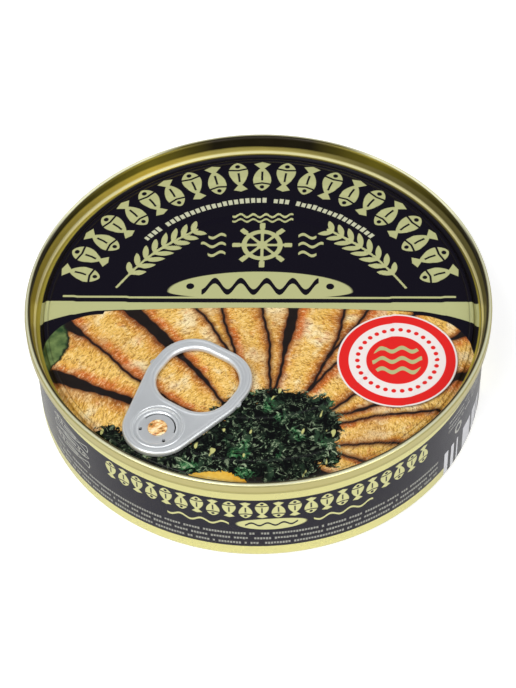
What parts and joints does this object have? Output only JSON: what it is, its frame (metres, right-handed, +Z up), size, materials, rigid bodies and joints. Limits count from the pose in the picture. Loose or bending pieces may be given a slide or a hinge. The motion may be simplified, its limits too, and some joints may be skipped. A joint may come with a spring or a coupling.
{
  "type": "tin of sprats",
  "caption": "Shallow round fish tin with a seamed easy-open end, a riveted ring pull and a printed picture label; closed and full.",
  "frame": {"origin": "middle of the base, on the surface the tin stands on", "axes": "+Z up along the tin's axis; -Y towards the front of the label; +X to the right along the straight edge of the end's print"},
  "size_m": [0.1023, 0.1022, 0.0274],
  "materials": {
    "printed_body": "lithographed sheet, dark label with gold margins, glossy varnish",
    "printed_end": "lithographed easy-open end, gold lacquer rim, glossy picture print",
    "tab_steel": "satin silver-grey lacquered sheet"
  },
  "bodies": {
    "root": {"tin_body": "printed_body", "lid": "printed_end", "pull_tab": "tab_steel"}
  },
  "joints": []
}
